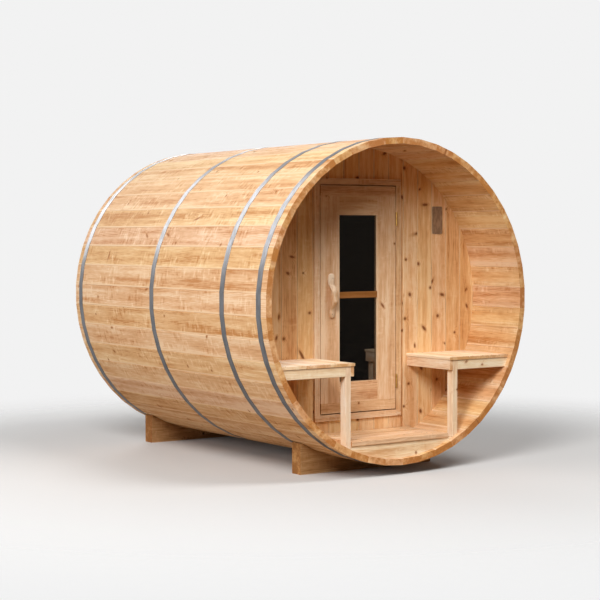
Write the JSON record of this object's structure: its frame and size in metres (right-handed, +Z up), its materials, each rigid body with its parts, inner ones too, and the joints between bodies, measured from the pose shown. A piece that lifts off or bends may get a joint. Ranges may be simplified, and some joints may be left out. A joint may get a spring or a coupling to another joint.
{
  "type": "barrel sauna",
  "caption": "Barrel sauna of flat cedar staves in steel hoops, on timber cradles, with an open porch, porch benches and a hinged glazed door.",
  "frame": {"origin": "on the ground, under the middle of the barrel", "axes": "+Z up, +Y along the barrel's axis from the porch to the back, +X to the right seen from the porch"},
  "size_m": [1.9548, 2.358, 2.0177],
  "materials": {
    "stave_wood": "bare planed cedar",
    "wall_wood": "bare planed cedar boards",
    "trim_wood": "bare planed cedar",
    "cradle_wood": "bare sawn timber",
    "hoop_steel": "stainless band",
    "door_glass": "dark tinted",
    "hinge_brass": "satin"
  },
  "bodies": {
    "barrel": {"crown_staves": "stave_wood", "left_upper_staves": "stave_wood", "left_side_staves": "stave_wood", "left_lower_staves": "stave_wood", "keel_staves": "stave_wood", "right_lower_staves": "stave_wood", "right_side_staves": "stave_wood", "right_upper_staves": "stave_wood", "porch_hoop": "hoop_steel", "wall_hoop": "hoop_steel", "middle_hoop": "hoop_steel", "rear_hoop": "hoop_steel", "front_wall_left": "wall_wood", "front_wall_right": "wall_wood", "front_wall_header": "wall_wood", "front_wall_foot": "wall_wood", "back_wall": "wall_wood", "frame_left_jamb": "trim_wood", "frame_right_jamb": "trim_wood", "frame_head": "trim_wood", "frame_sill": "trim_wood", "frame_hinge_leaves": "hinge_brass", "left_seat": "trim_wood", "left_leg": "trim_wood", "left_side_rail": "trim_wood", "left_front_rail": "trim_wood", "right_seat": "trim_wood", "right_leg": "trim_wood", "right_side_rail": "trim_wood", "right_front_rail": "trim_wood", "seat_cleats": "trim_wood", "porch_deck": "trim_wood", "porch_skirt": "trim_wood", "cabin_floor": "trim_wood", "floor_bearers": "trim_wood", "front_cradle": "cradle_wood", "rear_cradle": "cradle_wood"},
    "door": {"door_left_stile": "trim_wood", "door_right_stile": "trim_wood", "door_cap_rails": "trim_wood", "door_upper_rail": "trim_wood", "door_lower_rail": "trim_wood", "door_glass": "door_glass", "door_glazing_bars": "trim_wood", "door_handle": "trim_wood", "door_hinge_leaves": "hinge_brass"}
  },
  "joints": [
    {"name": "door_hinge", "type": "hinge", "parent": "barrel", "child": "door", "pos_m": [0.293, -0.742, 1.038], "axis": [0, 0, 1], "range_deg": [0, 100]}
  ]
}
